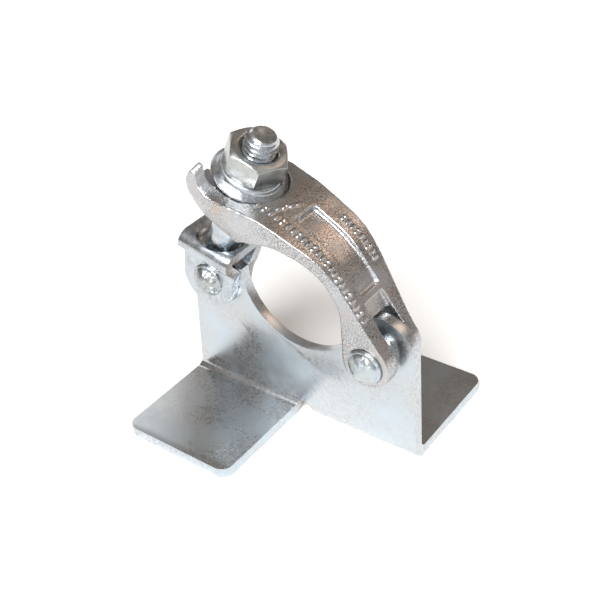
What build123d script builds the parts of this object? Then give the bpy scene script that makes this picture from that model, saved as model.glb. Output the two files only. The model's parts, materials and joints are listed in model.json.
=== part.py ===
from build123d import *
import os
from math import asin, atan, cos, radians, sin, tan

# Half coupler on a bent plate bracket, for a 48.3 mm scaffold tube.
# Millimetres, +Z up. The tube runs along Y through the origin, and the plate's
# mid-plane is y = 0. The feet stand on the plane z = -tube_height.

# tube and saddle
tube_height = 57.0
saddle_r = 24.5
jaw_r = 24.7

# bracket plate
plate_t = 4.0
bend_inner_r = 2.5
foot_left_x = -52.2
foot_left_end = -4.9
foot_right_start = 1.0
foot_right_x = 46.0
foot_left_reach = 44.4
foot_right_reach = 46.3
foot_corner_r = 4.5
foot_taper = 0.09
left_edge_top = (-49.1, -22.0)
notch_r = 2.4
left_ear_r = 9.2
right_ear_r = 12.5
saddle_lip = -0.8

# hinge pins
hinge_x = 33.5
hinge_z = -12.5
pivot_x = -38.0
pivot_z = -6.5
shank_r = 6.0
strap_shank_r = 5.0
running_gap = 0.05
flap_pin_head_r = 6.7
strap_rivet_head_r = 6.3
rivet_head_h = 4.0
rivet_seat_gap = 0.4

# flap
flap_front_y = 12.0
flap_rear_y = 9.0
fork_front = 5.8
fork_rear = 4.7
nose_half = 17.5
nose_waist = 13.2
crotch_r = 13.2
flap_ear_r = 8.9
slot_r = 7.0
channel_half = 13.4
spot_face_r = 13.8
pocket_half = 5.0
recess_front = 5.4
parting_t = 44.0

# strap, leaning on its rivet
strap_lean = 14.4
strap_half = 11.4
strap_t = 3.5
strap_leg_gap = 0.1
strap_joggle_r = 2.2
strap_joggle_slope = 1.1
shoulder_t = 7.2
strap_ear_r = 11.2
strap_bridge_top = 17.8
strap_loop_half = 10.0
strap_loop_r = 4.8
strap_hole_r = 7.9
strap_countersink = 1.6
tube_relief_r = 24.6

# swing bolt, washer and nut in the bolt's own frame: u across the bolt, t up the bolt.
# The bolt leans further than the strap, so it stands at the side of the strap's hole.
bolt_lean = 28.0
bolt_offset = -2.7
bolt_head_half = (8.8, 5.4, 2.9)
bolt_head_t = (9.7, 12.6, 14.2)
bolt_r = 5.95
bolt_end = 67.9
bolt_end_chamfer = 1.2
seat_t = 49.0
washer_bottom = 49.1
washer_top = 53.0
washer_r = 13.0
washer_collar_r = 10.7
washer_bore_r = 6.5
nut_top = 62.0
nut_flats = 19.0
nut_bore_r = 6.05
nut_turn = 10.5
nut_face_r = 9.0
nut_face_chamfer = 1.45
nut_countersink = 0.9

os.makedirs("parts", exist_ok=True)

floor_z = -tube_height
bend_outer_r = bend_inner_r + plate_t
half_t = plate_t / 2
strap_face = half_t + strap_leg_gap + strap_t
pivot = (pivot_x, 0, pivot_z)


def lean_axes(lean):
    """Give the directions across and along something that leans towards the hinge."""
    tilt = radians(lean)
    return (cos(tilt), 0, -sin(tilt)), (sin(tilt), 0, cos(tilt))


strap_across, strap_along = lean_axes(strap_lean)
strap_front = Plane(origin=pivot, x_dir=strap_across, z_dir=(0, -1, 0))
strap_side = Plane(origin=pivot, x_dir=(0, 1, 0), z_dir=strap_across)
strap_up = Plane(origin=pivot, x_dir=strap_across, z_dir=strap_along)

across, along = lean_axes(bolt_lean)
bolt_foot = (pivot_x + bolt_offset * across[0], 0, pivot_z + bolt_offset * across[2])
bolt_front = Plane(origin=bolt_foot, x_dir=across, z_dir=(0, -1, 0))
bolt_side = Plane(origin=bolt_foot, x_dir=(0, 1, 0), z_dir=across)
bolt_up = Plane(origin=bolt_foot, x_dir=across, z_dir=along)


def leaned(u, t):
    """Give the x and z of a point that is u across and t up the bolt."""
    return (bolt_foot[0] + u * across[0] + t * along[0], bolt_foot[2] + u * across[2] + t * along[2])


def around(radius, angle):
    """Give the x and z of a point at a radius and an angle round the tube."""
    return (radius * cos(radians(angle)), radius * sin(radians(angle)))


# one bent steel sheet: upright web with a saddle, one foot forward, one foot back
with BuildPart() as bracket_plate:
    web_base = floor_z + bend_outer_r
    with BuildSketch(Plane.XZ):
        with BuildLine():
            Polyline(
                (foot_left_x + foot_taper * bend_outer_r, web_base),
                (foot_right_x, web_base),
                (foot_right_x, hinge_z),
                (0, hinge_z),
                (-saddle_r + 4, hinge_z),
                (-saddle_r + 4, saddle_lip),
                (pivot_x, pivot_z + left_ear_r),
                (pivot_x - left_ear_r, pivot_z),
                left_edge_top,
                close=True,
            )
        make_face()
        with Locations((pivot_x, pivot_z)):
            Circle(left_ear_r)
        with Locations((hinge_x, hinge_z)):
            Circle(right_ear_r)
        Circle(saddle_r, mode=Mode.SUBTRACT)
    extrude(amount=half_t, both=True)

    feet = (
        (foot_left_x, foot_left_end, -1, foot_left_reach),
        (foot_right_start, foot_right_x, 1, foot_right_reach),
    )
    for x_from, x_to, side, reach in feet:
        with BuildSketch(Plane.YZ.offset(x_from)) as section:
            with BuildLine():
                Polyline(
                    (-side * half_t, web_base),
                    (-side * half_t, floor_z),
                    (side * reach, floor_z),
                    (side * reach, floor_z + plate_t),
                    (side * half_t, floor_z + plate_t),
                    (side * half_t, web_base),
                    close=True,
                )
            make_face()
            heel = section.vertices().sort_by_distance((-side * half_t, floor_z, 0))[0]
            fillet(heel, bend_outer_r - 0.01)
            crook = section.vertices().sort_by_distance((side * half_t, floor_z + plate_t, 0))[0]
            fillet(crook, bend_inner_r - 0.01)
        extrude(amount=x_to - x_from)

    # the left edge tapers as it climbs out of the bend
    with BuildSketch(Plane.XZ):
        with BuildLine():
            Polyline(
                (foot_left_x, floor_z + plate_t),
                (foot_left_x + foot_taper * bend_outer_r, web_base),
                (foot_left_x - 1, web_base),
                (foot_left_x - 1, floor_z + plate_t),
                close=True,
            )
        make_face()
    extrude(amount=half_t + bend_inner_r, both=True, mode=Mode.SUBTRACT)

    upright = bracket_plate.edges().filter_by(Axis.Z)
    fillet(upright.group_by(Axis.Y)[0], foot_corner_r)
    fillet(upright.group_by(Axis.Y)[-1], foot_corner_r)
    notch_x = (foot_left_end + foot_right_start) / 2
    notch = bracket_plate.edges().filter_by(Axis.Y).sort_by_distance((notch_x, 0, web_base))[:2]
    fillet(notch, notch_r)

    with BuildSketch(Plane.XZ):
        with Locations((hinge_x, hinge_z)):
            Circle(shank_r)
        with Locations((pivot_x, pivot_z)):
            Circle(strap_shank_r)
    extrude(amount=plate_t, both=True, mode=Mode.SUBTRACT)
bracket_plate.part.label = "bracket_plate"
export_step(bracket_plate.part, "parts/bracket_plate.step")

# the two rivets, each a shank with a low dome at both ends
rivets = (
    ("flap_pin", hinge_x, hinge_z, flap_front_y, flap_rear_y, shank_r, flap_pin_head_r),
    ("strap_rivet", pivot_x, pivot_z, strap_face, strap_face, strap_shank_r, strap_rivet_head_r),
)
for rivet_name, rivet_x, rivet_z, front_y, rear_y, stem_r, rivet_head_r in rivets:
    with BuildPart() as rivet:
        front = -front_y - running_gap
        rear = rear_y + running_gap
        dome_r = (rivet_head_r**2 + rivet_head_h**2) / (2 * rivet_head_h)
        half_turn = asin(rivet_head_r / dome_r) / 2
        dome_x = rivet_x + dome_r * sin(half_turn)
        dome_h = rivet_head_h - dome_r * (1 - cos(half_turn))
        with BuildSketch(Plane.XY.offset(rivet_z)):
            with BuildLine():
                ThreePointArc(
                    (rivet_x, rear + rivet_head_h),
                    (dome_x, rear + dome_h),
                    (rivet_x + rivet_head_r, rear),
                )
                Polyline(
                    (rivet_x + rivet_head_r, rear),
                    (rivet_x + stem_r, rear),
                    (rivet_x + stem_r, front),
                    (rivet_x + rivet_head_r, front),
                )
                ThreePointArc(
                    (rivet_x + rivet_head_r, front),
                    (dome_x, front - dome_h),
                    (rivet_x, front - rivet_head_h),
                )
                Line((rivet_x, front - rivet_head_h), (rivet_x, rear + rivet_head_h))
            make_face()
        revolve(axis=Axis((rivet_x, 0, rivet_z), (0, 1, 0)))
    rivet.part.label = rivet_name
    export_step(rivet.part, f"parts/{rivet_name}.step")

# strip bent into a clevis: two ears on the plate, a wide loop for the bolt's head
with BuildPart() as bolt_strap:
    ear_in = half_t + strap_leg_gap
    loop_in = strap_loop_half - strap_t
    inner_shoulder_t = shoulder_t + strap_t * tan(atan(1 / strap_joggle_slope) / 2)
    joggle = (
        (strap_loop_half, shoulder_t + (strap_loop_half - strap_face) * strap_joggle_slope),
        (strap_face, shoulder_t),
        (ear_in, inner_shoulder_t),
        (loop_in, inner_shoulder_t + (loop_in - ear_in) * strap_joggle_slope),
    )
    bridge_under = strap_bridge_top - strap_t
    with BuildSketch(strap_side.offset(-strap_half)) as strip:
        with BuildLine():
            Polyline(
                (0, strap_bridge_top),
                (strap_loop_half, strap_bridge_top),
                joggle[0],
                joggle[1],
                (strap_face, -strap_ear_r - 1),
                (ear_in, -strap_ear_r - 1),
                joggle[2],
                joggle[3],
                (loop_in, bridge_under),
                (0, bridge_under),
                close=True,
            )
        make_face()
        outer_top = strip.vertices().sort_by_distance((strap_loop_half, strap_bridge_top, 0))[0]
        fillet(outer_top, strap_loop_r)
        for bend_y, bend_t in joggle[:3]:
            fillet(strip.vertices().sort_by_distance((bend_y, bend_t, 0))[0], strap_joggle_r)
        mirror(about=Plane.YZ)
    extrude(amount=2 * strap_half)
    with BuildSketch(strap_front):
        with BuildLine():
            Polyline(
                (-strap_half, strap_bridge_top + 1),
                (strap_half, strap_bridge_top + 1),
                (strap_half, 6.0),
                (strap_ear_r * 0.98, 0),
                (-strap_ear_r * 0.98, 0),
                (-strap_half, 6.0),
                close=True,
            )
        make_face()
        Circle(strap_ear_r)
    extrude(amount=strap_loop_half + 1, both=True, mode=Mode.INTERSECT)
    with BuildSketch(strap_up.offset(bridge_under - 1)):
        Circle(strap_hole_r)
    extrude(amount=strap_t + 2, mode=Mode.SUBTRACT)
    with BuildSketch(strap_up.offset(strap_bridge_top - strap_countersink)):
        Circle(strap_hole_r)
    extrude(amount=2 * strap_countersink, taper=-40, mode=Mode.SUBTRACT)
    with BuildSketch(Plane.XZ):
        with Locations((pivot_x, pivot_z)):
            Circle(strap_shank_r + running_gap)
        Circle(tube_relief_r)
    extrude(amount=strap_loop_half + 1, both=True, mode=Mode.SUBTRACT)
bolt_strap.part.label = "bolt_strap"
export_step(bolt_strap.part, "parts/bolt_strap.step")

# T-bolt: a tapered bar head under the strap's bridge, and a leaning round shank
with BuildPart() as swing_bolt:
    head_low, head_waist, head_top = bolt_head_t
    with BuildSketch(bolt_up.offset(head_low)):
        Circle(bolt_r)
    extrude(amount=bolt_end - head_low)
    bolt_rims = swing_bolt.edges().filter_by(GeomType.CIRCLE).sort_by(Axis(bolt_foot, along))
    chamfer(bolt_rims[-1], bolt_end_chamfer)
    with BuildSketch(strap_up.offset(head_top - 0.1)):
        Rectangle(60, 60)
    extrude(amount=-30, mode=Mode.SUBTRACT)
    head_length, head_wide, head_narrow = bolt_head_half
    with BuildSketch(strap_side.offset(-head_length)):
        with BuildLine():
            Polyline(
                (head_wide, head_top),
                (head_wide, head_waist),
                (head_narrow, head_low),
                (-head_narrow, head_low),
                (-head_wide, head_waist),
                (-head_wide, head_top),
                close=True,
            )
        make_face()
    extrude(amount=2 * head_length)
swing_bolt.part.label = "swing_bolt"
export_step(swing_bolt.part, "parts/swing_bolt.step")

# washer with a raised collar, turned about the bolt
with BuildPart() as washer:
    with BuildSketch(bolt_front):
        with BuildLine():
            Polyline(
                (washer_bore_r, washer_bottom),
                (washer_r, washer_bottom),
                (washer_r, washer_bottom + 1.1),
                (washer_collar_r + 0.9, washer_bottom + 1.9),
                (washer_collar_r, washer_top - 0.7),
                (washer_collar_r - 0.7, washer_top),
                (washer_bore_r, washer_top),
                close=True,
            )
        make_face()
    revolve(axis=Axis(bolt_foot, along))
washer.part.label = "washer"
export_step(washer.part, "parts/washer.step")

# hexagon nut, its corners taken off by a cone at both faces
with BuildPart() as hex_nut:
    nut_height = nut_top - washer_top
    nut_corner_r = nut_flats / 2 / cos(radians(30))
    with BuildSketch(bolt_up.offset(washer_top)):
        RegularPolygon(nut_corner_r, 6, rotation=nut_turn)
        Circle(nut_bore_r, mode=Mode.SUBTRACT)
    extrude(amount=nut_height)
    with BuildSketch(bolt_front):
        with BuildLine():
            Polyline(
                (nut_bore_r, washer_top + nut_countersink),
                (nut_bore_r + nut_countersink, washer_top),
                (nut_face_r, washer_top),
                (nut_corner_r + 0.5, washer_top + nut_face_chamfer),
                (nut_corner_r + 0.5, nut_top - nut_face_chamfer),
                (nut_face_r, nut_top),
                (nut_bore_r + nut_countersink, nut_top),
                (nut_bore_r, nut_top - nut_countersink),
                close=True,
            )
        make_face()
    revolve(axis=Axis(bolt_foot, along), mode=Mode.INTERSECT)
hex_nut.part.label = "hex_nut"
export_step(hex_nut.part, "parts/hex_nut.step")

# forged flap: an arch over the tube, with a fork at the hinge and a slotted nose
with BuildPart() as clamp_flap:
    jaw_end = around(jaw_r, 124)
    jaw_mid = around(jaw_r, 62)
    ear_start = (hinge_x + flap_ear_r * cos(radians(35)), hinge_z + flap_ear_r * sin(radians(35)))
    ear_end = (hinge_x - flap_ear_r, hinge_z + 0.6)
    with BuildSketch(Plane.XZ):
        with BuildLine():
            Line(jaw_end, leaned(-0.9, 35.0))
            Spline(
                leaned(-0.9, 35.0),
                leaned(-5.5, 36.9),
                leaned(-8.6, 41.0),
                leaned(-11.0, 45.4),
                leaned(-12.2, 49.9),
                leaned(-11.3, 54.2),
            )
            Line(leaned(-11.3, 54.2), leaned(-9.5, 53.9))
            Spline(
                leaned(-9.5, 53.9),
                leaned(-6.9, 50.2),
                leaned(-3.1, 48.4),
                leaned(2.2, 48.9),
                leaned(8.1, 50.5),
                leaned(13.9, 52.1),
                around(33.0, 90),
                around(29.7, 70),
                around(28.9, 50),
                around(28.7, 30),
                around(31.7, 10),
                ear_start,
            )
            ThreePointArc(ear_start, (hinge_x, hinge_z - flap_ear_r), ear_end)
            Line(ear_end, (jaw_r, 0))
            ThreePointArc((jaw_r, 0), jaw_mid, jaw_end)
        make_face()
    extrude(amount=nose_half, both=True)

    # seen from above, wide at the nose and narrow at the fork, which stands nearer in front
    with BuildSketch(Plane.XY.offset(hinge_z - 20)):
        with BuildLine():
            Line((-34, -nose_half), (-34, nose_half))
            Line((-34, nose_half), (-12, nose_half))
            Spline(
                (-12, nose_half),
                (0, 15.5),
                (13, 14.6),
                (22.8, 13.6),
                (32.7, 10.8),
                (39.5, flap_rear_y),
            )
            Polyline((39.5, flap_rear_y), (50, flap_rear_y), (50, -flap_front_y), (24, -flap_front_y))
            Spline((24, -flap_front_y), (16, -13.7), (9, -15.2), (0, -16.3), (-12, -nose_half))
            Line((-12, -nose_half), (-34, -nose_half))
        make_face()
    extrude(amount=100, mode=Mode.INTERSECT)

    # forging draft under the nose, on both flanks below the parting line
    with BuildSketch(bolt_side.offset(-20)):
        with BuildLine():
            Polyline(
                (nose_waist, parting_t - 11),
                (nose_half + 2, parting_t - 11),
                (nose_half + 2, parting_t),
                (nose_half, parting_t),
                (nose_waist, parting_t - 9.6),
                close=True,
            )
        make_face()
        mirror(about=Plane.YZ)
    extrude(amount=38, mode=Mode.SUBTRACT)

    # channel that lets the washer swing out between the two horns
    with BuildSketch(Plane.XZ.offset(-channel_half)):
        with BuildLine():
            swing_top = leaned(-bolt_offset, seat_t)
            swing_end = (pivot_x + seat_t * sin(radians(-8)), pivot_z + seat_t * cos(radians(-8)))
            swing_mid = (pivot_x + seat_t * sin(radians(10)), pivot_z + seat_t * cos(radians(10)))
            Line(swing_top, leaned(-bolt_offset, 62))
            Polyline(leaned(-bolt_offset, 62), (swing_end[0], 62), swing_end)
            ThreePointArc(swing_end, swing_mid, swing_top)
        make_face()
    extrude(amount=2 * channel_half, mode=Mode.SUBTRACT)
    with BuildSketch(bolt_up.offset(seat_t)):
        Circle(spot_face_r)
    extrude(amount=12, mode=Mode.SUBTRACT)

    # slot for the bolt, open at the nose
    with BuildSketch(bolt_up.offset(28)):
        Circle(slot_r)
        with Locations((-12, 0)):
            Rectangle(24, 2 * slot_r)
    extrude(amount=32, mode=Mode.SUBTRACT)

    # fork gap round the plate's ear
    with BuildSketch(Plane.XZ.offset(-fork_rear)):
        with Locations((hinge_x, hinge_z)):
            Circle(crotch_r)
    extrude(amount=fork_rear + fork_front, mode=Mode.SUBTRACT)

    # long recess on the back, and a short one running into the fork
    with BuildSketch(Plane.XZ):
        with BuildLine():
            Polyline(around(29.2, 81), around(40, 81), around(55, 48), around(40, 17), around(28.7, 17))
            ThreePointArc(around(28.7, 17), around(27.3, 45), around(29.2, 81))
        make_face()
    extrude(amount=pocket_half, both=True, mode=Mode.SUBTRACT)
    with BuildSketch(Plane.XZ.offset(-fork_rear)):
        with BuildLine():
            Polyline(around(29.7, 12.5), around(42, 12.5), around(48, -8), around(34, -6), close=True)
        make_face()
    extrude(amount=fork_rear + recess_front, mode=Mode.SUBTRACT)

    # bore for the pin, and a flat seat for its rear head
    with BuildSketch(Plane.XZ):
        with Locations((hinge_x, hinge_z)):
            Circle(shank_r + running_gap)
    extrude(amount=nose_half, both=True, mode=Mode.SUBTRACT)
    with BuildSketch(Plane.XZ.offset(-flap_rear_y)):
        with Locations((hinge_x, hinge_z)):
            Circle(flap_pin_head_r + rivet_seat_gap)
    extrude(amount=flap_rear_y - nose_half, mode=Mode.SUBTRACT)
clamp_flap.part.label = "clamp_flap"
export_step(clamp_flap.part, "parts/clamp_flap.step")
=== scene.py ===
"""Looks for the scaffold half coupler on its bent plate bracket.

Sizes are in millimetres and turned to metres where a mesh is made. The CAD frame gives
every place: the tube's axis is the origin, +X runs from the swing bolt's rivet to the
flap's hinge, +Y to the rear foot and +Z up. The feet stand 57 mm below the origin.
"""

import json
import logging
from dataclasses import dataclass
from enum import Enum
from math import cos, pi, radians, sin

import bmesh
import bpy
from mathutils import Matrix, Vector, noise
from mathutils.bvhtree import BVHTree

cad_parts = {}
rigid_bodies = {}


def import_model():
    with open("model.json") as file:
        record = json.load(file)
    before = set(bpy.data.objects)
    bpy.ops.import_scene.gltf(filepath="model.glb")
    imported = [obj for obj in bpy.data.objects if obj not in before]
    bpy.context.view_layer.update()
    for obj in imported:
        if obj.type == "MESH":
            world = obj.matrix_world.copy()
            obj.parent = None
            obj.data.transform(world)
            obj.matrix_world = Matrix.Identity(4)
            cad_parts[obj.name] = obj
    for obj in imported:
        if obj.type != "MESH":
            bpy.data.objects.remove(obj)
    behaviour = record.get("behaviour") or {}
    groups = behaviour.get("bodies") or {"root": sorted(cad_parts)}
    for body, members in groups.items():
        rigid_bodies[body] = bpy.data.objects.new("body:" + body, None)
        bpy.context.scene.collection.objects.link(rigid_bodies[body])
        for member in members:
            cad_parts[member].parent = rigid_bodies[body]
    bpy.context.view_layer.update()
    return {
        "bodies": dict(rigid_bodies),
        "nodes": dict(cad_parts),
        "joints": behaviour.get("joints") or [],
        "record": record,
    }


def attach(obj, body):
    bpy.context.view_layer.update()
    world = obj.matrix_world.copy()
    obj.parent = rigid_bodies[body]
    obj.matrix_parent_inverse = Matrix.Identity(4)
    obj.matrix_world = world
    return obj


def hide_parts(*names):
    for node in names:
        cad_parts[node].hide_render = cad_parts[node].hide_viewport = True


logging.basicConfig(level=logging.INFO, format="%(message)s")
LOG = logging.getLogger("coupler")

MM = 0.001
TUBE_HEIGHT = 57.0
HINGE = Vector((33.5, 0.0, -12.5))
STRAP_PIVOT = Vector((-38.0, 0.0, -6.5))
BOLT_FOOT = Vector((-40.384, 0.0, -5.232))
BOLT_LEAN = 28.0


# ---------------------------------------------------------------------------
# small helpers
# ---------------------------------------------------------------------------


def linear(hex_colour: str) -> tuple[float, float, float, float]:
    """Turn an sRGB hex colour to linear light.

    Args:
        hex_colour: Six hex digits with a leading #.

    Returns:
        Linear red, green, blue and an alpha of one.
    """
    channels = [int(hex_colour[i : i + 2], 16) / 255 for i in (1, 3, 5)]
    low = [c / 12.92 if c <= 0.04045 else ((c + 0.055) / 1.055) ** 2.4 for c in channels]
    return (low[0], low[1], low[2], 1.0)


def add_node(
    tree: bpy.types.NodeTree, kind: str, inputs: dict | None = None, **settings: object
) -> bpy.types.Node:
    """Add one shader node with its settings and links.

    Args:
        tree: The node tree that gets the node.
        kind: Blender's node type name.
        inputs: Input name or number to a value, or to an output socket to link.
        **settings: Attributes of the node itself.

    Returns:
        The new node.
    """
    node = tree.nodes.new(kind)
    for name, value in settings.items():
        setattr(node, name, value)
    for name, value in (inputs or {}).items():
        if isinstance(value, bpy.types.NodeSocket):
            tree.links.new(value, node.inputs[name])
        else:
            node.inputs[name].default_value = value
    return node


def lean_matrix(foot: Vector, lean: float) -> Matrix:
    """Give the frame of something that leans towards the hinge.

    Args:
        foot: Where its local origin is, in millimetres.
        lean: Degrees from upright.

    Returns:
        A matrix whose local Z runs up the leaning piece and local Y stays +Y.
    """
    return Matrix.Translation(foot) @ Matrix.Rotation(radians(lean), 4, "Y")


def new_object(name: str, bm: bmesh.types.BMesh) -> bpy.types.Object:
    """Turn a bmesh in millimetres into an object in metres.

    Args:
        name: The piece's name.
        bm: The mesh, which is freed.

    Returns:
        The linked object.
    """
    bmesh.ops.scale(bm, vec=(MM, MM, MM), verts=bm.verts)
    bmesh.ops.recalc_face_normals(bm, faces=bm.faces)
    mesh = bpy.data.meshes.new(name)
    bm.to_mesh(mesh)
    bm.free()
    obj = bpy.data.objects.new(name, mesh)
    bpy.context.scene.collection.objects.link(obj)
    return obj


def cad_bmesh(frame: dict, node: str) -> bmesh.types.BMesh:
    """Copy a CAD node's solid as a welded bmesh in millimetres.

    Args:
        node: The CAD node's name.

    Returns:
        The mesh with split vertices joined.
    """
    bm = bmesh.new()
    bm.from_mesh(frame["nodes"][node].data)
    bmesh.ops.scale(bm, vec=(1 / MM, 1 / MM, 1 / MM), verts=bm.verts)
    bmesh.ops.remove_doubles(bm, verts=bm.verts, dist=1e-3)
    return bm


def smooth_by_angle(obj: bpy.types.Object, angle: float = 35.0) -> None:
    """Shade an object smooth, but for edges sharper than an angle in degrees."""
    for face in obj.data.polygons:
        face.use_smooth = True
    obj.data.set_sharp_from_angle(angle=radians(angle))


def dissolve_flats(obj: bpy.types.Object) -> None:
    """Merge a CAD copy's coplanar triangles so that only real edges are left."""
    bm = bmesh.new()
    bm.from_mesh(obj.data)
    bmesh.ops.dissolve_limit(bm, angle_limit=radians(0.5), verts=bm.verts, edges=bm.edges)
    bm.to_mesh(obj.data)
    bm.free()


def apply_modifiers(obj: bpy.types.Object) -> None:
    """Put an object's modifiers into its mesh."""
    graph = bpy.context.evaluated_depsgraph_get()
    mesh = bpy.data.meshes.new_from_object(obj.evaluated_get(graph))
    mesh.name = obj.name
    obj.modifiers.clear()
    obj.data = mesh


def round_edges(obj: bpy.types.Object, width: float, segments: int, angle: float = 28.0) -> None:
    """Round an object's corners as a tool or a die leaves them.

    Args:
        obj: The piece.
        width: Millimetres of rounding.
        segments: Facets across each rounding.
        angle: Corners sharper than this many degrees are rounded.
    """
    bevel = obj.modifiers.new("corners", "BEVEL")
    bevel.width = width * MM
    bevel.segments = segments
    bevel.limit_method = "ANGLE"
    bevel.angle_limit = radians(angle)
    bevel.use_clamp_overlap = True
    bevel.miter_outer = "MITER_ARC"
    apply_modifiers(obj)


def lathe(
    profile: list[tuple[float, float]], place: Matrix, steps: int = 96
) -> bmesh.types.BMesh:
    """Turn a closed outline about its local Z axis.

    Args:
        profile: Radius and height pairs in millimetres, going once round the section.
            Points with no radius are poles.
        place: Where the turned piece goes.
        steps: Facets round the axis.

    Returns:
        The closed mesh.
    """
    bm = bmesh.new()
    rings = []
    for radius, height in profile:
        if radius < 1e-6:
            rings.append([bm.verts.new(place @ Vector((0, 0, height)))])
            continue
        turns = (2 * pi * i / steps for i in range(steps))
        rings.append(
            [bm.verts.new(place @ Vector((radius * cos(a), radius * sin(a), height))) for a in turns]
        )
    is_open = len(rings[0]) == 1 and len(rings[-1]) == 1
    pairs = list(zip(rings, rings[1:])) + ([] if is_open else [(rings[-1], rings[0])])
    for low, high in pairs:
        for i in range(steps):
            j = (i + 1) % steps
            corners = [low[i % len(low)], low[j % len(low)], high[j % len(high)], high[i % len(high)]]
            bm.faces.new(list(dict.fromkeys(corners)))
    return bm


# ---------------------------------------------------------------------------
# finishes
# ---------------------------------------------------------------------------


class Grain(Enum):
    """Which way a surface was worked before it was plated."""

    EVEN = (1.0, 1.0, 1.0)
    ROLLED = (0.12, 1.0, 0.5)
    TURNED = (1.0, 1.0, 0.15)


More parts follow.
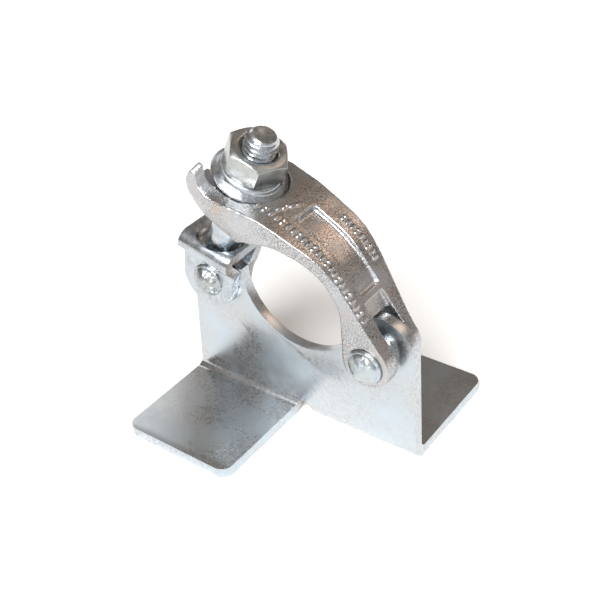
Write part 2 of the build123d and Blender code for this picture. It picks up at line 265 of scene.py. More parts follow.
@dataclass(frozen=True)
class ZincPlating:
    """Bright zinc, electroplated and passivated, over worked steel.

    The thin passivate gives the grey metal its faint blue and straw clouds, the plating
    bath gives soft mottling a millimetre or so across, and the steel below shows through
    as fine grain in the shine.
    """

    name: str
    shade_hex: str = "#A9AEB3"
    body_hex: str = "#C6CACE"
    tint_hex: str = "#C4D0D8"
    straw_hex: str = "#CDBFA8"
    straw: float = 0.25
    smooth: float = 0.24
    dull: float = 0.42
    cloud_mm: float = 16.0
    mottle_mm: float = 1.6
    mottle_span: tuple[float, float] = (0.36, 0.62)
    grain_mm: float = 0.45
    grain_depth_mm: float = 0.012
    grain: Grain = Grain.EVEN
    pit_mm: float = 0.9
    pit_depth_mm: float = 0.0
    rub: float = 0.075
    streak_mm: float = 0.9

    def material(self) -> bpy.types.Material:
        """Build the procedural material.

        Returns:
            The material, made once and shared by pieces with this finish.
        """
        found = bpy.data.materials.get(self.name)
        if found:
            return found
        made = bpy.data.materials.new(self.name)
        made.use_nodes = True
        tree = made.node_tree
        tree.nodes.clear()
        where = add_node(tree, "ShaderNodeTexCoord").outputs["Object"]
        in_mm = add_node(
            tree, "ShaderNodeMapping", {"Vector": where, "Scale": (1 / MM, 1 / MM, 1 / MM)}
        ).outputs["Vector"]
        cloud = add_node(
            tree,
            "ShaderNodeTexNoise",
            {"Vector": in_mm, "Scale": 1 / self.cloud_mm, "Detail": 3.0, "Roughness": 0.55},
        ).outputs["Fac"]
        mottle = add_node(
            tree,
            "ShaderNodeTexNoise",
            {"Vector": in_mm, "Scale": 1 / self.mottle_mm, "Detail": 4.0, "Roughness": 0.65},
        ).outputs["Fac"]
        metal = {
            "Base Color": self._colour(tree, in_mm, cloud, mottle),
            "Metallic": 1.0,
            "Roughness": self._shine(tree, in_mm, cloud, mottle),
            "Normal": self._relief(tree, in_mm),
        }
        shader = add_node(tree, "ShaderNodeBsdfPrincipled", metal)
        add_node(tree, "ShaderNodeOutputMaterial", {"Surface": shader.outputs["BSDF"]})
        return made

    def _colour(
        self,
        tree: bpy.types.NodeTree,
        in_mm: bpy.types.NodeSocket,
        cloud: bpy.types.NodeSocket,
        mottle: bpy.types.NodeSocket,
    ) -> bpy.types.NodeSocket:
        """Give the metal's colour: grey body, blue clouds, straw stains.

        Args:
            tree: The material's node tree.
            in_mm: Object coordinates in millimetres.
            cloud: The broad noise.
            mottle: The fine noise.

        Returns:
            The colour.
        """
        shade = add_node(
            tree,
            "ShaderNodeMapRange",
            {"Value": mottle, "From Min": self.mottle_span[0], "From Max": self.mottle_span[1]},
        ).outputs["Result"]
        body = add_node(
            tree,
            "ShaderNodeMix",
            {0: shade, 6: linear(self.shade_hex), 7: linear(self.body_hex)},
            data_type="RGBA",
        ).outputs[2]
        blue = add_node(
            tree,
            "ShaderNodeMapRange",
            {"Value": cloud, "From Min": 0.42, "From Max": 0.66, "To Max": 0.75},
        ).outputs["Result"]
        tinted = add_node(
            tree,
            "ShaderNodeMix",
            {0: blue, 6: body, 7: linear(self.tint_hex)},
            data_type="RGBA",
        ).outputs[2]
        stain_size = self.cloud_mm * 0.6
        stain = add_node(
            tree,
            "ShaderNodeTexNoise",
            {"Vector": in_mm, "Scale": 1 / stain_size, "Detail": 3.0, "Roughness": 0.5},
        ).outputs["Fac"]
        amount = add_node(
            tree,
            "ShaderNodeMapRange",
            {"Value": stain, "From Min": 0.56, "From Max": 0.72, "To Max": self.straw},
        ).outputs["Result"]
        return add_node(
            tree,
            "ShaderNodeMix",
            {0: amount, 6: tinted, 7: linear(self.straw_hex)},
            data_type="RGBA",
        ).outputs[2]

    def _shine(
        self,
        tree: bpy.types.NodeTree,
        in_mm: bpy.types.NodeSocket,
        cloud: bpy.types.NodeSocket,
        mottle: bpy.types.NodeSocket,
    ) -> bpy.types.NodeSocket:
        """Give the roughness: duller in the clouds, with fine rubbed streaks.

        Args:
            tree: The material's node tree.
            in_mm: Object coordinates in millimetres.
            cloud: The broad noise.
            mottle: The fine noise.

        Returns:
            The roughness.
        """
        broad = add_node(
            tree,
            "ShaderNodeMapRange",
            {
                "Value": cloud,
                "From Min": 0.35,
                "From Max": 0.65,
                "To Min": self.smooth,
                "To Max": self.dull,
            },
        ).outputs["Result"]
        fine = add_node(
            tree,
            "ShaderNodeMapRange",
            {"Value": mottle, "From Min": 0.3, "From Max": 0.7, "To Min": -0.05, "To Max": 0.06},
        ).outputs["Result"]
        both = add_node(tree, "ShaderNodeMath", {0: broad, 1: fine}, operation="ADD").outputs[0]
        stretch = add_node(
            tree,
            "ShaderNodeMapping",
            {"Vector": in_mm, "Scale": (0.1, 1.2, 1.2), "Rotation": (0.0, radians(24), radians(31))},
        ).outputs["Vector"]
        streak = add_node(
            tree,
            "ShaderNodeTexNoise",
            {"Vector": stretch, "Scale": 1 / self.streak_mm, "Detail": 2.0, "Roughness": 0.5},
        ).outputs["Fac"]
        rubbed = add_node(
            tree,
            "ShaderNodeMapRange",
            {"Value": streak, "From Min": 0.62, "From Max": 0.72, "To Max": self.rub},
        ).outputs["Result"]
        return add_node(tree, "ShaderNodeMath", {0: both, 1: rubbed}, operation="ADD").outputs[0]

    def _relief(
        self, tree: bpy.types.NodeTree, in_mm: bpy.types.NodeSocket
    ) -> bpy.types.NodeSocket:
        """Give the surface normal: fine grain, and pits where the steel was forged.

        Args:
            tree: The material's node tree.
            in_mm: Object coordinates in millimetres.

        Returns:
            The normal.
        """
        along = add_node(
            tree, "ShaderNodeMapping", {"Vector": in_mm, "Scale": self.grain.value}
        ).outputs["Vector"]
        grain = add_node(
            tree,
            "ShaderNodeTexNoise",
            {"Vector": along, "Scale": 1 / self.grain_mm, "Detail": 3.0, "Roughness": 0.6},
        ).outputs["Fac"]
        bump = {"Height": grain, "Distance": self.grain_depth_mm * MM, "Strength": 1.0}
        normal = add_node(tree, "ShaderNodeBump", bump).outputs["Normal"]
        if self.pit_depth_mm > 0:
            pits = add_node(
                tree,
                "ShaderNodeTexNoise",
                {"Vector": in_mm, "Scale": 1 / self.pit_mm, "Detail": 5.0, "Roughness": 0.62},
            ).outputs["Fac"]
            cut = add_node(
                tree, "ShaderNodeMapRange", {"Value": pits, "From Min": 0.36, "From Max": 0.56}
            ).outputs["Result"]
            bump = {
                "Height": cut,
                "Distance": self.pit_depth_mm * MM,
                "Strength": 1.0,
                "Normal": normal,
            }
            normal = add_node(tree, "ShaderNodeBump", bump).outputs["Normal"]
        return normal


# cold-rolled sheet under bright zinc: smooth, broad reflections with blue-white clouds
SHEET_ZINC = ZincPlating(
    name="zinc_plated_rolled_sheet",
    shade_hex="#BCBFC2",
    body_hex="#C5C8CA",
    rub=0.0,
    grain=Grain.ROLLED,
    grain_depth_mm=0.006,
    smooth=0.25,
    dull=0.36,
    cloud_mm=22.0,
    straw=0.08,
)
# where the blank was sheared: torn grain, brighter and rougher than the sheet's skin
SHEARED_ZINC = ZincPlating(
    name="zinc_plated_sheared_edge",
    body_hex="#D0D3D6",
    smooth=0.28,
    dull=0.40,
    mottle_mm=0.8,
    grain_mm=0.6,
    grain_depth_mm=0.03,
    straw=0.1,
)
# zinc over a shot-blasted forging skin: the pits break the shine into fine speckle, and
# are drawn half a millimetre wide, coarser than blasting leaves them, so that they show
FORGED_ZINC = ZincPlating(
    name="zinc_plated_drop_forging",
    shade_hex="#8F9094",
    body_hex="#D0CFCD",
    tint_hex="#C4C6CA",
    straw_hex="#C7AC94",
    straw=0.35,
    smooth=0.24,
    dull=0.34,
    mottle_mm=0.5,
    mottle_span=(0.42, 0.58),
    grain_depth_mm=0.012,
    pit_mm=0.5,
    pit_depth_mm=0.03,
)
# strip bent cold, whose bends stay bright and flats a little duller; the finish gives a bright shine
# that dulls only in broad clouds
STRIP_ZINC = ZincPlating(
    name="zinc_plated_bent_strip",
    smooth=0.20,
    dull=0.34,
    cloud_mm=9.0,
    straw=0.2,
)
# rivet heads closed by a hammer tool: satin with small dents
RIVET_ZINC = ZincPlating(
    name="zinc_plated_rivet",
    shade_hex="#96989A",
    body_hex="#BBBDBB",
    smooth=0.24,
    dull=0.36,
    mottle_mm=1.2,
    pit_mm=2.2,
    pit_depth_mm=0.06,
    straw=0.3,
    straw_hex="#C9C3A2",
)
# rolled thread and drawn shank: the brightest zinc on the coupler
BOLT_ZINC = ZincPlating(
    name="zinc_plated_rolled_thread",
    body_hex="#CDCFD2",
    smooth=0.20,
    dull=0.30,
    cloud_mm=6.0,
    straw=0.1,
    grain=Grain.TURNED,
    grain_depth_mm=0.006,
)
# turned seat washer under satin zinc
WASHER_ZINC = ZincPlating(name="zinc_plated_turned_washer", smooth=0.24, dull=0.38, cloud_mm=7.0)
# machined hexagon under satin zinc: even, with a greenish-straw cast on its flats
NUT_ZINC = ZincPlating(
    name="zinc_plated_machined_hexagon",
    shade_hex="#A6A8A4",
    body_hex="#BEC0BB",
    tint_hex="#C6CDD2",
    smooth=0.24,
    dull=0.36,
    cloud_mm=8.0,
    straw=0.2,
)


def dress(piece: bpy.types.Object, finish: ZincPlating, body: str, node: str) -> None:
    """Give a piece its material and tie it to the frame.

    Args:
        piece: The finished mesh.
        finish: Its surface.
        body: The CAD body that it moves with.
        node: The CAD node that it stands for.
    """
    piece.data.materials.clear()
    piece.data.materials.append(finish.material())
    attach(piece, body)
    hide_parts(node)
    LOG.info("%s: %d faces on %s", piece.name, len(piece.data.polygons), body)


# ---------------------------------------------------------------------------
# pieces
# ---------------------------------------------------------------------------


@dataclass
class PlateSheet:
    """The bent plate: web with saddle, one foot forward and one foot back."""

    thickness: float = 4.0
    edge_rounding: float = 0.55
    web_base: float = -50.5
    foot_start: float = 30.0
    end_facing: float = 0.8
    edge_facing: float = 0.3

    def build(self, frame: dict) -> bpy.types.Object:
        """Copy the CAD plate, round its sheared edges and mark the cut faces.


        Returns:
            The piece, dressed and tied to the root body.
        """
        plate = new_object("plate_sheet", cad_bmesh(frame, "bracket_plate"))
        dissolve_flats(plate)
        round_edges(plate, self.edge_rounding, 3)
        smooth_by_angle(plate)
        dress(plate, SHEET_ZINC, "root", "bracket_plate")
        plate.data.materials.append(SHEARED_ZINC.material())
        for face in plate.data.polygons:
            if self._is_cut(face):
                face.material_index = 1
        return plate

    def _is_cut(self, face: bpy.types.MeshPolygon) -> bool:
        """Tell whether a face is where the blank was cut, not the sheet's own skin."""
        height = face.center.z / MM
        if abs(face.normal.x) > self.end_facing:
            return True
        if height > self.web_base:
            return abs(face.normal.y) < self.edge_facing
        flat_foot = height < -TUBE_HEIGHT + self.thickness
        far_out = abs(face.center.y) / MM > self.foot_start
        return flat_foot and far_out and abs(face.normal.z) < self.edge_facing


@dataclass
class Mark:
    """One raised pip: degrees round the tube, place along it, and its half sizes."""

    angle: float
    y: float
    length: float = 0.66
    width: float = 0.72
    height: float = 0.72


@dataclass(frozen=True)
class MarkRow:
    """A row of raised marks that steps round the arch and along the tube."""

    count: int
    angle: float
    y: float
    angle_step: float = 4.05
    y_step: float = 0.0
    first_turn: int = 0


@dataclass
class FlapForging:
    """The drop-forged flap, with soft corners, raised pips and a blasted skin."""

    voxel: float = 0.38
    soften_rounds: int = 4
    fine_voxel: float = 0.30
    horn_inner: float = 13.4
    horn_outer: float = 17.5
    horn_fall: float = 2.2
    horn_base: float = 45.5
    horn_rise: float = 4.5
    horn_fade_end: float = 4.0
    horn_fade: float = 8.0
    bore_r: float = 6.05
    drill_half: float = 20.0
    uneven: float = 0.10
    slow_per_mm: float = 0.22
    quick_per_mm: float = 0.9
    quick_share: float = 0.35
    pip_apart: float = 0.9
    bar_width: float = 1.5
    rows: tuple[MarkRow, ...] = (
        MarkRow(24, 100.0, -9.6),
        MarkRow(9, 63.0, 9.2, first_turn=1),
        MarkRow(4, 91.5, -6.2, angle_step=1.6, y_step=2.4),
    )

    def build(self, frame: dict) -> bpy.types.Object:
        """Soften the CAD flap like a forging and raise its marks.


        Returns:
            The piece, dressed and tied to the flap body.
        """
        flap = new_object("flap_forging", cad_bmesh(frame, "clamp_flap"))
        self._remesh(flap, self.voxel)
        self._smooth(flap, self.soften_rounds)
        self._slope_horns(flap)
        self._raise_marks(flap)
        self._remesh(flap, self.fine_voxel)
        self._smooth(flap, 2)
        self._roughen(flap)
        self._drill(flap)
        smooth_by_angle(flap, 50.0)
        dress(flap, FORGED_ZINC, "flap", "clamp_flap")
        return flap

    def _remesh(self, flap: bpy.types.Object, size: float) -> None:
        """Rebuild the mesh as an even skin of quads about size mm wide."""
        remesh = flap.modifiers.new("skin", "REMESH")
        remesh.mode = "VOXEL"
        remesh.voxel_size = size * MM
        apply_modifiers(flap)

    def _smooth(self, flap: bpy.types.Object, rounds: int) -> None:
        """Round the corners as a die leaves them."""
        smooth = flap.modifiers.new("soften", "SMOOTH")
        smooth.factor = 0.5
        smooth.iterations = rounds
        apply_modifiers(flap)

    def _slope_horns(self, flap: bpy.types.Object) -> None:
        """Slope the tops of the two horns down and outward."""
        place = lean_matrix(BOLT_FOOT, BOLT_LEAN)
        back = place.inverted()
        for vert in flap.data.vertices:
            local = back @ (vert.co / MM)
            out = (abs(local.y) - self.horn_inner) / (self.horn_outer - self.horn_inner)
            up = min(max((local.z - self.horn_base) / self.horn_rise, 0.0), 1.0)
            fade = min(max((self.horn_fade_end - local.x) / self.horn_fade, 0.0), 1.0)
            if out > 0 and up > 0 and fade > 0:
                local.z -= self.horn_fall * out * up * fade
                vert.co = (place @ local) * MM

    def _marks(self) -> list[Mark]:
        """List the raised marks: a long row in front, a short one behind, a few on the nose."""
        marks = []
        for row in self.rows:
            for i in range(row.count):
                angle = row.angle - row.angle_step * i
                marks += self._station(angle, row.y + row.y_step * i, row.first_turn + i)
        return marks

    def _station(self, angle: float, y: float, turn: int) -> list[Mark]:
        """Give one station of a row: two pips at every third, a bar at the others."""
        if turn % 3 == 1:
            return [Mark(angle, y - self.pip_apart), Mark(angle, y + self.pip_apart)]
        return [Mark(angle, y, width=self.bar_width)]

    def _raise_marks(self, flap: bpy.types.Object) -> None:
        """Set the pips on the flap's back, each half sunk into it."""
        tree = BVHTree.FromObject(flap, bpy.context.evaluated_depsgraph_get())
        bm = bmesh.new()
        bm.from_mesh(flap.data)
        for mark in self._marks():
            turn = radians(mark.angle)
            outward = Vector((cos(turn), 0, sin(turn)))
            start = (outward * 60 + Vector((0, mark.y, 0))) * MM
            spot, normal, _, _ = tree.ray_cast(start, -outward)
            if spot is None:
                continue
            run = Vector((0, 1, 0)).cross(normal).normalized()
            side = normal.cross(run)
            place = Matrix.Identity(4)
            for column, axis in enumerate((run, side, normal)):
                for row in range(3):
                    place[row][column] = axis[row]
            place.translation = spot
            size = (mark.length * MM, mark.width * MM, mark.height * MM)
            bmesh.ops.create_icosphere(
                bm, subdivisions=3, radius=1.0, matrix=place @ Matrix.Diagonal((*size, 1.0))
            )
        bm.to_mesh(flap.data)
        bm.free()

    def _roughen(self, flap: bpy.types.Object) -> None:
        """Leave the slow unevenness of a worn die in the skin."""
        mesh = flap.data
        moves = []
        for vert in mesh.vertices:
            spot = vert.co / MM
            slow = noise.noise(spot * self.slow_per_mm) * self.uneven
            quick = noise.noise(spot * self.quick_per_mm + Vector((7, 3, 5)))
            moves.append(vert.normal * (slow + quick * self.uneven * self.quick_share) * MM)
        for vert, move in zip(mesh.vertices, moves):
            vert.co = vert.co + move
        mesh.update()

    def _drill(self, flap: bpy.types.Object) -> None:
        """Cut the pin's bore clean after the forging is softened."""
        place = Matrix.Translation(HINGE) @ Matrix.Rotation(radians(-90), 4, "X")
        half = self.drill_half
        outline = [(0, -half), (self.bore_r, -half), (self.bore_r, half), (0, half)]
        drill = new_object("drill", lathe(outline, place))
        cut = flap.modifiers.new("bore", "BOOLEAN")
        cut.operation = "DIFFERENCE"
        cut.solver = "EXACT"
        cut.object = drill
        apply_modifiers(flap)
        bpy.data.objects.remove(drill, do_unlink=True)


@dataclass
class RivetBody:
    """A rivet with a low hammered dome at both ends."""

    name: str
    node: str
    place: Vector
    front: float
    rear: float
    shank_r: float
    head_r: float
    head_h: float = 4.0
    rim_h: float = 1.1
    flat_share: float = 0.86
    dome_points: int = 10
    rim_points: int = 6
    dent: float = 0.26
    dent_per_mm: float = 0.38
    spread: float = 0.12
    under_head: float = 0.15
    seed: float = 0.0

    def build(self) -> bpy.types.Object:
        """Turn the rivet and dent its heads.

        Returns:
            The piece, dressed and tied to the root body.
        """
        place = Matrix.Translation(self.place) @ Matrix.Rotation(radians(-90), 4, "X")
        outline = [(r, -z) for r, z in self._half_outline(self.front)]
        outline += [(r, z) for r, z in reversed(self._half_outline(self.rear))]
        bm = lathe(outline, place, 120)
        for vert in bm.verts:
            self._hammer(vert)
        rivet = new_object(self.name, bm)
        smooth_by_angle(rivet, 60.0)
        dress(rivet, RIVET_ZINC, "root", self.node)
        return rivet

    def _half_outline(self, grip: float) -> list[tuple[float, float]]:
        """Give radius and height from a head's pole, past its grip, to the shank's middle."""
        points = [(0.0, grip + self.head_h)]
        flat_r = self.head_r * self.flat_share
        for i in range(1, self.dome_points + 1):
            turn = i / self.dome_points * pi / 2
            rise = (self.head_h - self.rim_h) * (0.35 * cos(turn) + 0.65 * cos(turn) ** 2)
            points.append((flat_r * sin(turn) ** 0.9, grip + self.rim_h + rise))
        for i in range(1, self.rim_points + 1):
            turn = i / self.rim_points * pi / 2
            reach = self.head_r - flat_r
            points.append((flat_r + reach * sin(turn), grip + self.rim_h * abs(cos(turn)) ** 0.6))
        points.append((self.shank_r, grip))
        points.append((self.shank_r, 0.5))
        return points

    def _hammer(self, vert: bmesh.types.BMVert) -> None:
        """Move one head vertex by the slow dents that closing the rivet leaves."""
        if -self.front - self.under_head < vert.co.y < self.rear + self.under_head:
            return
        centre = Vector((self.place.x, vert.co.y, self.place.z))
        outward = vert.co - centre
        spot = vert.co * self.dent_per_mm + Vector((self.seed, 0, 2 * self.seed))
        bump = noise.noise(spot) + 0.4 * noise.noise(spot * 2.3)
        vert.co.y += bump * self.dent * (1 if vert.co.y > 0 else -1)
        if outward.length > 0.1:
            vert.co += outward * bump * self.dent * self.spread


@dataclass
class StrapClevis:
    """The bent strip that carries the swing bolt's head."""

    edge_rounding: float = 0.35

    def build(self, frame: dict) -> bpy.types.Object:
        """Copy the CAD strap and round its edges as bending leaves them.


        Returns:
            The piece, dressed and tied to the bolt body.
        """
        strap = new_object("strap_clevis", cad_bmesh(frame, "bolt_strap"))
        dissolve_flats(strap)
        round_edges(strap, self.edge_rounding, 4)
        smooth_by_angle(strap)
        dress(strap, STRIP_ZINC, "bolt", "bolt_strap")
        return strap


@dataclass
class TeeBolt:
    """The swing bolt: a bar head under the strap and a leaning threaded shank."""

    strap_lean: float = 14.4
    start: float = 11.5
    thread_start: float = 44.0
    end: float = 67.9
    end_chamfer: float = 1.7
    major_r: float = 5.85
    thread_r: float = 5.7
    pitch: float = 1.75
    thread_depth: float = 1.2
    flank_end: float = 0.90
    flank_run: float = 0.74
    run_out_turns: float = 1.5
    end_slope: float = 0.9
    end_dish: tuple[tuple[float, float], ...] = ((0.8, 0.0), (0.45, 0.12), (0.2, 0.22))
    head_length: float = 8.8
    head_low: float = 9.7
    head_waist: float = 12.6
    head_top: float = 14.2
    head_wide: float = 5.4
    head_narrow: float = 2.9
    steps: int = 72
    steps_per_pitch: int = 14

    def build(self) -> bpy.types.Object:
        """Roll the thread, make the head and join them.

        Returns:
            The piece, dressed and tied to the bolt body.
        """
        head = new_object("head", self._head())
        round_edges(head, 0.8, 3)
        bm = self._shank()
        bmesh.ops.scale(bm, vec=(MM, MM, MM), verts=bm.verts)
        bm.from_mesh(head.data)
        bmesh.ops.scale(bm, vec=(1 / MM, 1 / MM, 1 / MM), verts=bm.verts)
        bpy.data.objects.remove(head, do_unlink=True)
        bolt = new_object("tee_bolt", bm)
        smooth_by_angle(bolt, 32.0)
        dress(bolt, BOLT_ZINC, "bolt", "swing_bolt")
        return bolt

    def _radius(self, turn: float, height: float) -> float:
        """Give the shank's radius at a turn in radians and a height in millimetres."""
        phase = (height / self.pitch - turn / (2 * pi)) % 1.0
        slope = min(abs(phase - 0.5) * 2, 1.0)
        groove = min(max((self.flank_end - slope) / self.flank_run, 0.0), 1.0)
        run_out = self.run_out_turns * self.pitch
        fade = min(max((height - self.thread_start) / run_out, 0.0), 1.0)
        cut = self.thread_depth * groove + self.major_r - self.thread_r
        chamfer = self.thread_r - self.end_chamfer + (self.end - height) * self.end_slope
        return min(self.major_r - cut * fade, chamfer)

    def _shank(self) -> bmesh.types.BMesh:
        """Make the threaded shank as rings of vertices with a dished end."""
        place = lean_matrix(BOLT_FOOT, BOLT_LEAN)
        step = self.pitch / self.steps_per_pitch
        heights = [self.start, self.thread_start]
        while heights[-1] + step < self.end:
            heights.append(heights[-1] + step)
        heights.append(self.end)
        bm = bmesh.new()
        rings = []
        turns = [2 * pi * i / self.steps for i in range(self.steps)]
        for height in heights:
            ring = []
            for turn in turns:
                radius = self._radius(turn, height)
                spot = Vector((radius * cos(turn), radius * sin(turn), height))
                ring.append(bm.verts.new(place @ spot))
            rings.append(ring)
        rim = self.thread_r - self.end_chamfer
        for share, sink in self.end_dish:
            ring = []
            for turn in turns:
                spot = Vector((rim * share * cos(turn), rim * share * sin(turn), self.end - sink))
                ring.append(bm.verts.new(place @ spot))
            rings.append(ring)
        for low, high in zip(rings, rings[1:]):
            for i in range(self.steps):
                j = (i + 1) % self.steps
                bm.faces.new((low[i], low[j], high[j], high[i]))
        bm.faces.new(rings[0])
        bm.faces.new(rings[-1])
        return bm

    def _head(self) -> bmesh.types.BMesh:
        """Make the tapered bar that the strap's bridge holds."""
        place = lean_matrix(STRAP_PIVOT, self.strap_lean)
        outline = (
            (self.head_wide, self.head_top),
            (self.head_wide, self.head_waist),
            (self.head_narrow, self.head_low),
            (-self.head_narrow, self.head_low),
            (-self.head_wide, self.head_waist),
            (-self.head_wide, self.head_top),
        )
        bm = bmesh.new()
        ends = []
        for x in (-self.head_length, self.head_length):
            ends.append([bm.verts.new(place @ Vector((x, y, z))) for y, z in outline])
        for i in range(len(outline)):
            j = (i + 1) % len(outline)
            bm.faces.new((ends[0][i], ends[0][j], ends[1][j], ends[1][i]))
        bm.faces.new(ends[0])
        bm.faces.new(ends[1])
        return bm


@dataclass
class SeatWasher:
    """The thick turned washer with a raised collar."""

    bottom: float = 49.1
    top: float = 53.0
    bore_r: float = 6.5
    flange_r: float = 13.0
    flange_t: float = 1.1
    collar_r: float = 10.7

    def build(self) -> bpy.types.Object:
        """Turn the washer with soft corners.

        Returns:
            The piece, dressed and tied to the washer body.
        """
        outline = [
            (self.bore_r, self.bottom),
            (self.flange_r - 0.35, self.bottom),
            (self.flange_r - 0.08, self.bottom + 0.12),
            (self.flange_r, self.bottom + 0.4),
            (self.flange_r, self.bottom + self.flange_t - 0.3),
            (self.flange_r - 0.15, self.bottom + self.flange_t),
            (self.flange_r - 0.5, self.bottom + self.flange_t + 0.18),
            (self.collar_r + 1.2, self.bottom + 1.75),
            (self.collar_r + 0.7, self.bottom + 2.0),
            (self.collar_r + 0.25, self.bottom + 2.45),
            (self.collar_r, self.top - 0.8),
            (self.collar_r - 0.2, self.top - 0.3),
            (self.collar_r - 0.75, self.top),
            (self.bore_r, self.top),
        ]
        washer = new_object("seat_washer", lathe(outline, lean_matrix(BOLT_FOOT, BOLT_LEAN), 128))
        smooth_by_angle(washer, 40.0)
        dress(washer, WASHER_ZINC, "washer", "washer")
        return washer


@dataclass
class NutHexagon:
    """The hexagon nut, its corners taken off by a cone at both faces."""

    edge_rounding: float = 0.22

    def build(self, frame: dict) -> bpy.types.Object:
        """Copy the CAD nut and break its edges.


        Returns:
            The piece, dressed and tied to the nut body.
        """
        nut = new_object("nut_hexagon", cad_bmesh(frame, "hex_nut"))
        dissolve_flats(nut)
        round_edges(nut, self.edge_rounding, 2, angle=20.0)
        smooth_by_angle(nut, 25.0)
        dress(nut, NUT_ZINC, "nut", "hex_nut")
        return nut


# ---------------------------------------------------------------------------
# studio
# ---------------------------------------------------------------------------


@dataclass
class Softbox:
    """One soft rectangular light: where it is, what it aims at and how strong it is."""

    name: str
    place: tuple[float, float, float]
    size: tuple[float, float]
    power: float
    colour_hex: str = "#FFFFFF"
    aim: tuple[float, float, float] = (0.0, 0.0, -0.01)


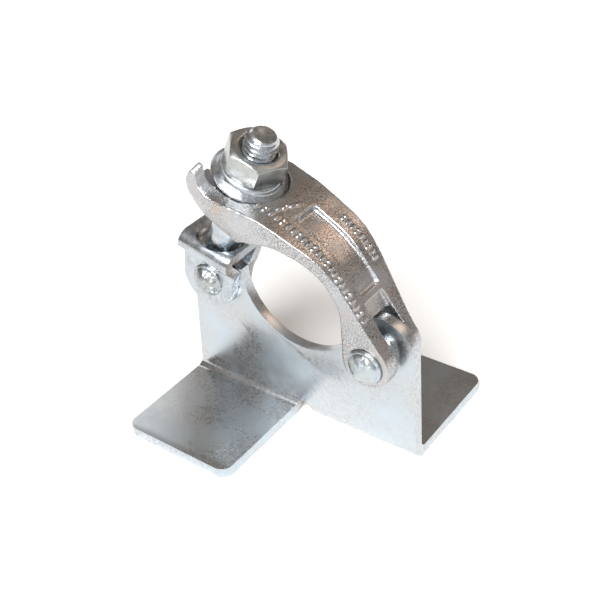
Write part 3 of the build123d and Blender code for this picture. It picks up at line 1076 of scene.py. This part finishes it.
@dataclass
class Studio:
    """Camera, pale floor and soft light."""

    azimuth: float = 39.667
    elevation: float = 34.818
    roll: float = -5.469
    lens: float = 59.08
    place_mm: tuple[float, float, float] = (176.418, -213.580, 187.254)
    floor_half: float = 4.0
    floor_hex: str = "#F4F4F3"
    dim_hex: str = "#938A82"
    bright_hex: str = "#D3D6DA"
    bright_side: tuple[float, float, float] = (0.52, -0.63, 0.57)
    bright_span: tuple[float, float] = (0.25, 0.95)
    world_strength: float = 0.85
    sun_strength: float = 4.5
    sun_angle: float = 34.0
    sun_from: tuple[float, float, float] = (0.21, -0.67, 0.73)
    lights: tuple[Softbox, ...] = (
        Softbox("warm", (0.36, 0.55, 0.62), (0.35, 0.35), 0.9, "#FFDCC2"),
        Softbox("left", (-0.80, 0.35, 0.45), (0.3, 0.5), 0.6),
    )

    def build(self) -> None:
        """Make the camera, the floor, the world and the lights."""
        self._camera()
        self._floor()
        self._world()
        self._sun()
        # the plain curve keeps the floor white and the zinc's contrast full
        bpy.context.scene.view_settings.view_transform = "Standard"
        for box in self.lights:
            self._light(box)

    def _camera(self) -> None:
        """Look at the coupler from the front right, a little rolled."""
        az, el, roll = radians(self.azimuth), radians(self.elevation), radians(self.roll)
        back = Vector((sin(az) * cos(el), -cos(az) * cos(el), sin(el)))
        right = Vector((cos(az), sin(az), 0.0))
        up = back.cross(right)
        rolled_right = cos(roll) * right + sin(roll) * up
        rolled_up = cos(roll) * up - sin(roll) * right
        data = bpy.data.cameras.new("camera")
        data.lens = self.lens
        data.sensor_width = 36.0
        data.clip_start = 0.01
        camera = bpy.data.objects.new("camera", data)
        bpy.context.scene.collection.objects.link(camera)
        turn = Matrix((rolled_right, rolled_up, back)).transposed()
        camera.matrix_world = Matrix.Translation(Vector(self.place_mm) * MM) @ turn.to_4x4()
        bpy.context.scene.camera = camera

    def _floor(self) -> None:
        """Lay a plain pale floor under the feet."""
        half = self.floor_half / MM
        bm = bmesh.new()
        corners = ((-half, -half), (half, -half), (half, half), (-half, half))
        bm.faces.new([bm.verts.new((x, y, -TUBE_HEIGHT)) for x, y in corners])
        floor = new_object("studio_floor", bm)
        paper = bpy.data.materials.new("matt_paper_floor")
        paper.use_nodes = True
        tree = paper.node_tree
        tree.nodes.clear()
        colour = {"Base Color": linear(self.floor_hex), "Roughness": 0.9}
        shader = add_node(tree, "ShaderNodeBsdfPrincipled", colour)
        add_node(tree, "ShaderNodeOutputMaterial", {"Surface": shader.outputs["BSDF"]})
        floor.data.materials.append(paper)

    def _world(self) -> None:
        """Fill the room with soft light, bright in front and dim behind."""
        world = bpy.data.worlds.new("room")
        world.use_nodes = True
        tree = world.node_tree
        tree.nodes.clear()
        look = add_node(tree, "ShaderNodeTexCoord").outputs["Generated"]
        facing = add_node(
            tree, "ShaderNodeVectorMath", {0: look, 1: self.bright_side}, operation="DOT_PRODUCT"
        ).outputs["Value"]
        share = {
            "Value": facing,
            "From Min": self.bright_span[0],
            "From Max": self.bright_span[1],
        }
        amount = add_node(tree, "ShaderNodeMapRange", share, clamp=True).outputs["Result"]
        tones = {0: amount, 6: linear(self.dim_hex), 7: linear(self.bright_hex)}
        tone = add_node(tree, "ShaderNodeMix", tones, data_type="RGBA").outputs[2]
        glow = {"Color": tone, "Strength": self.world_strength}
        shader = add_node(tree, "ShaderNodeBackground", glow)
        add_node(tree, "ShaderNodeOutputWorld", {"Surface": shader.outputs["Background"]})
        bpy.context.scene.world = world

    def _sun(self) -> None:
        """Add the main soft source, high in front, that keeps the floor evenly white."""
        data = bpy.data.lights.new("overhead", "SUN")
        data.energy = self.sun_strength
        data.angle = radians(self.sun_angle)
        lamp = bpy.data.objects.new("overhead", data)
        bpy.context.scene.collection.objects.link(lamp)
        lamp.rotation_euler = (-Vector(self.sun_from)).to_track_quat("-Z", "Y").to_euler()

    def _light(self, box: Softbox) -> None:
        """Hang one softbox aimed at the coupler."""
        data = bpy.data.lights.new(box.name, "AREA")
        data.shape = "RECTANGLE"
        data.size, data.size_y = box.size
        data.energy = box.power
        data.color = linear(box.colour_hex)[:3]
        lamp = bpy.data.objects.new(box.name, data)
        bpy.context.scene.collection.objects.link(lamp)
        lamp.location = box.place
        aim = Vector(box.aim) - Vector(box.place)
        lamp.rotation_euler = aim.to_track_quat("-Z", "Y").to_euler()


# ---------------------------------------------------------------------------
# main
# ---------------------------------------------------------------------------


def main() -> None:
    """Build every piece on the CAD frame, then the studio."""
    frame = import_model()
    PlateSheet().build(frame)
    FlapForging().build(frame)
    RivetBody(
        "flap_pin_rivet",
        "flap_pin",
        HINGE,
        front=12.05,
        rear=9.05,
        shank_r=6.0,
        head_r=6.4,
        seed=3.0,
    ).build()
    RivetBody(
        "strap_rivet_body",
        "strap_rivet",
        STRAP_PIVOT,
        front=5.65,
        rear=5.65,
        shank_r=5.0,
        head_r=6.3,
        seed=8.0,
    ).build()
    StrapClevis().build(frame)
    TeeBolt().build()
    SeatWasher().build()
    NutHexagon().build(frame)
    Studio().build()


if __name__ == "__main__":
    main()
